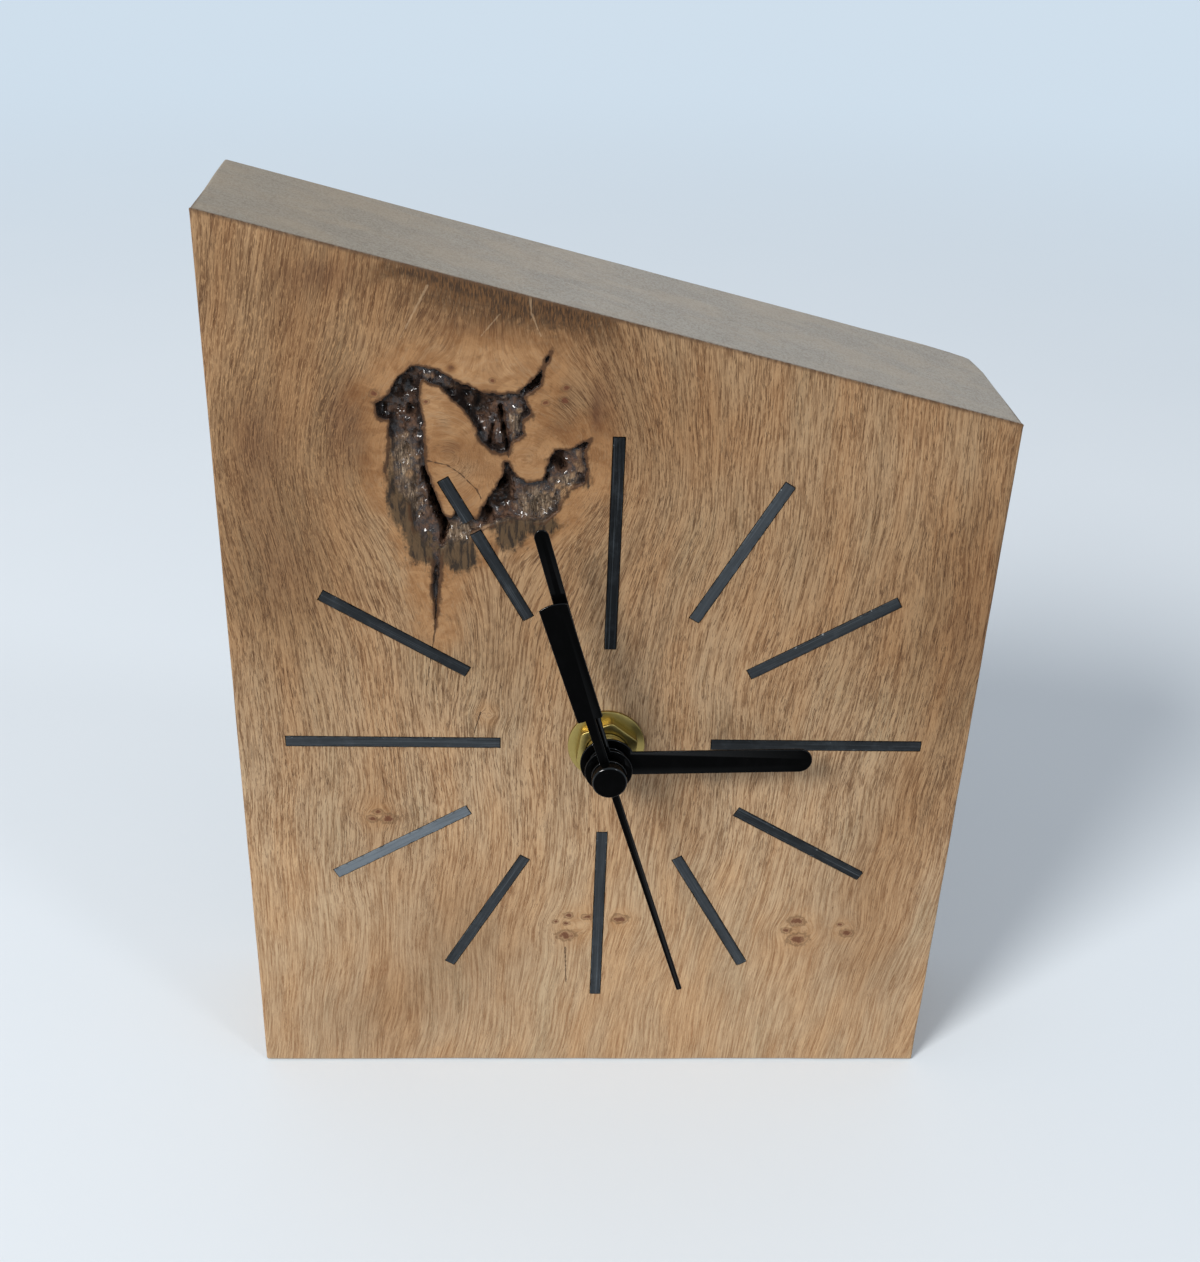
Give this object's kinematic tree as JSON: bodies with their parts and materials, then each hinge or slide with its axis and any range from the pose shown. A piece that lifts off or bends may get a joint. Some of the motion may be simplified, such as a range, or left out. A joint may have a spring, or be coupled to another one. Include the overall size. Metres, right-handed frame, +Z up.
{
  "type": "wooden desk clock",
  "caption": "Free-standing oak block clock with a slanted top, inlaid hour batons, a knot void, three black hands and a battery quartz movement in its back.",
  "frame": {"origin": "centre of the block's flat underside", "axes": "+Z up from the underside, -Y out of the dial towards the viewer, +X to the right of the dial"},
  "size_m": [0.138, 0.0524, 0.174],
  "materials": {
    "oak": "oiled oak with open pores, sanded smooth, warm tan face and greyer end grain",
    "baton_black": "black-stained hardwood strip with fine lengthwise lines, satin",
    "brass": "turned brass",
    "gasket_rubber": "matt black rubber",
    "satin_black": "satin black paint on thin metal",
    "case_plastic": "finely grained black moulding",
    "gear_plastic": "natural white moulding",
    "magnet_steel": "plated sintered magnet",
    "stator_steel": "stamped soft magnetic sheet",
    "contact_steel": "nickel-plated spring sheet",
    "copper_wire": "enamelled copper wire, close wound",
    "board_green": "green lacquered board",
    "battery_sleeve": "plain printed sleeve on a metal can"
  },
  "bodies": {
    "clock_body": {"oak_block": "oak", "hour_baton_01": "baton_black", "hour_baton_02": "baton_black", "hour_baton_03": "baton_black", "hour_baton_04": "baton_black", "hour_baton_05": "baton_black", "hour_baton_06": "baton_black", "hour_baton_07": "baton_black", "hour_baton_08": "baton_black", "hour_baton_09": "baton_black", "hour_baton_10": "baton_black", "hour_baton_11_outer": "baton_black", "hour_baton_11_inner": "baton_black", "hour_baton_12": "baton_black", "nut_washer": "brass", "hex_nut": "brass", "threaded_bush": "brass", "rubber_gasket": "gasket_rubber", "movement_case": "case_plastic", "movement_cover": "case_plastic", "middle_plate": "gear_plastic", "rear_plate": "gear_plastic", "stator": "stator_steel", "coil_core": "stator_steel", "coil_bobbin": "gear_plastic", "coil_winding": "copper_wire", "circuit_board": "board_green", "timing_chip": "case_plastic", "quartz_crystal": "contact_steel", "contact_negative": "contact_steel", "contact_positive": "contact_steel"},
    "second_body": {"second_wheel": "gear_plastic", "second_hand": "satin_black", "second_hand_cap": "satin_black"},
    "minute_body": {"minute_wheel": "gear_plastic", "minute_hand": "satin_black", "minute_hand_collar": "satin_black"},
    "hour_body": {"hour_wheel": "brass", "hour_hand": "satin_black", "hour_hand_collar": "satin_black"},
    "third_body": {"third_wheel": "gear_plastic"},
    "intermediate_body": {"intermediate_wheel": "gear_plastic"},
    "rotor_body": {"rotor_pinion": "gear_plastic", "rotor_magnet": "magnet_steel"},
    "motion_body": {"motion_wheel": "gear_plastic"},
    "setting_body": {"setting_arbor": "gear_plastic", "setting_knob": "case_plastic"},
    "battery_body": {"battery": "battery_sleeve"}
  },
  "joints": [
    {"name": "second_hand_turn", "type": "hinge", "parent": "clock_body", "child": "second_body", "pos_m": [0, -0.0098, 0.078], "axis": [0, 1, 0], "continuous": true},
    {"name": "minute_hand_turn", "type": "hinge", "parent": "clock_body", "child": "minute_body", "pos_m": [0, -0.0098, 0.078], "axis": [0, 1, 0], "continuous": true},
    {"name": "hour_hand_turn", "type": "hinge", "parent": "clock_body", "child": "hour_body", "pos_m": [0, -0.0098, 0.078], "axis": [0, 1, 0], "continuous": true},
    {"name": "third_wheel_turn", "type": "hinge", "parent": "clock_body", "child": "third_body", "pos_m": [-0.0102, -0.0098, 0.078], "axis": [0, 1, 0], "continuous": true},
    {"name": "intermediate_wheel_turn", "type": "hinge", "parent": "clock_body", "child": "intermediate_body", "pos_m": [0.0042, -0.0098, 0.08527], "axis": [0, 1, 0], "continuous": true},
    {"name": "rotor_turn", "type": "hinge", "parent": "clock_body", "child": "rotor_body", "pos_m": [0.0084, -0.0098, 0.09255], "axis": [0, 1, 0], "continuous": true},
    {"name": "motion_wheel_turn", "type": "hinge", "parent": "clock_body", "child": "motion_body", "pos_m": [0.0075, -0.0098, 0.078], "axis": [0, 1, 0], "continuous": true},
    {"name": "setting_knob_turn", "type": "hinge", "parent": "clock_body", "child": "setting_body", "pos_m": [0.01594, -0.0098, 0.078], "axis": [0, 1, 0], "continuous": true},
    {"name": "battery_slide", "type": "slide", "parent": "clock_body", "child": "battery_body", "axis": [0, 1, 0], "range_m": [0, 0.03]}
  ],
  "couplings": [
    {"joint": "minute_hand_turn", "follows": "second_hand_turn", "ratio": 0.016667},
    {"joint": "hour_hand_turn", "follows": "second_hand_turn", "ratio": 0.0013889},
    {"joint": "third_wheel_turn", "follows": "second_hand_turn", "ratio": -0.125},
    {"joint": "intermediate_wheel_turn", "follows": "second_hand_turn", "ratio": -5},
    {"joint": "rotor_turn", "follows": "second_hand_turn", "ratio": 30},
    {"joint": "motion_wheel_turn", "follows": "second_hand_turn", "ratio": -0.0055556},
    {"joint": "setting_knob_turn", "follows": "second_hand_turn", "ratio": 0.011111}
  ]
}
